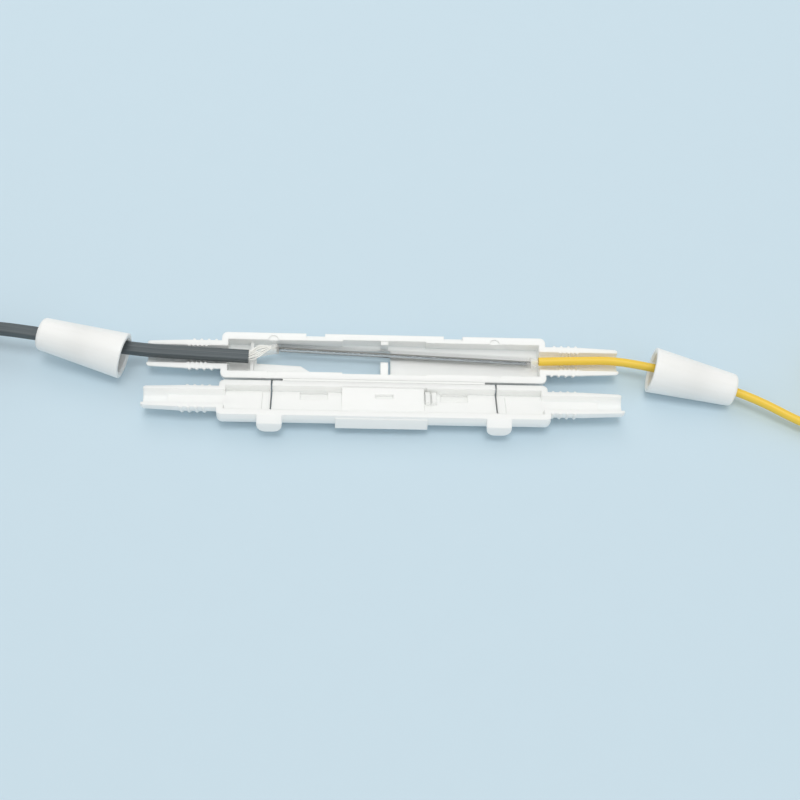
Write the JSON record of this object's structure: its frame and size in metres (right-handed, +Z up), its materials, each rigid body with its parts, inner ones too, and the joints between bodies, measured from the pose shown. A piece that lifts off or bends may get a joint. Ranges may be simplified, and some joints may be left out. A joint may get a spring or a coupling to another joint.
{
  "type": "drop cable splice protector",
  "caption": "Slim white splice box on a film hinge, lying open over a fused fibre in its shrink sleeve, with conical screw caps waiting on the flat drop cable and the round pigtail.",
  "frame": {"origin": "on the table, under the middle of the box that holds the open shells and the screw caps, cables and what hangs on them left out", "axes": "+X along the cables from the drop cable's side to the pigtail's side, +Y from the lid to the base, +Z up from the table"},
  "size_m": [0.3361, 0.0305, 0.0143],
  "materials": {
    "white_moulding": "white moulded, satin",
    "white_cap": "white moulded, satin",
    "clear_sleeve": "clear shrink tube",
    "melt_lining": "translucent hot melt",
    "steel_rod": "ground steel",
    "coated_fibre": "coated glass fibre",
    "white_buffer": "extruded, matt",
    "black_jacket": "extruded, matt",
    "yellow_jacket": "extruded, satin",
    "tie_band": "woven hook-and-loop",
    "connector_housing": "green moulded",
    "connector_boot": "green moulded, matt",
    "ceramic_ferrule": "polished ceramic"
  },
  "bodies": {
    "base": {"base_shell": "white_moulding", "hinge_film": "white_moulding", "sleeve_tube": "clear_sleeve", "sleeve_lining": "melt_lining", "sleeve_rod": "steel_rod", "splice_fibre": "coated_fibre", "pigtail_buffer": "white_buffer", "drop_cable": "black_jacket", "pigtail_cable": "yellow_jacket", "drop_hank": "black_jacket", "pigtail_hank": "yellow_jacket", "drop_lead": "black_jacket", "pigtail_lead": "yellow_jacket", "drop_tie": "tie_band", "drop_connector_boot": "connector_boot", "drop_connector_housing": "connector_housing", "drop_connector_ferrule": "ceramic_ferrule", "pigtail_tie": "tie_band", "pigtail_connector_boot": "connector_boot", "pigtail_connector_housing": "connector_housing", "pigtail_connector_ferrule": "ceramic_ferrule"},
    "lid": {"lid_shell": "white_moulding"},
    "left_cap": {"left_cap": "white_cap"},
    "right_cap": {"right_cap": "white_cap"}
  },
  "joints": [
    {"name": "lid_hinge", "type": "hinge", "parent": "base", "child": "lid", "pos_m": [-0.00128, 0.00061, 0.0037], "axis": [-1, 0, 0], "range_deg": [-26.8, 153.2], "stiffness_Nm_per_rad": 0.004, "deforming": ["hinge_film"]},
    {"name": "left_cap_slide", "type": "slide", "parent": "base", "child": "left_cap", "axis": [0.995, -0.0995, 0], "range_m": [-0.004, 0.0035]},
    {"name": "right_cap_slide", "type": "slide", "parent": "base", "child": "right_cap", "axis": [-0.9636, 0.2672, 0], "range_m": [-0.006, 0.0055]}
  ]
}
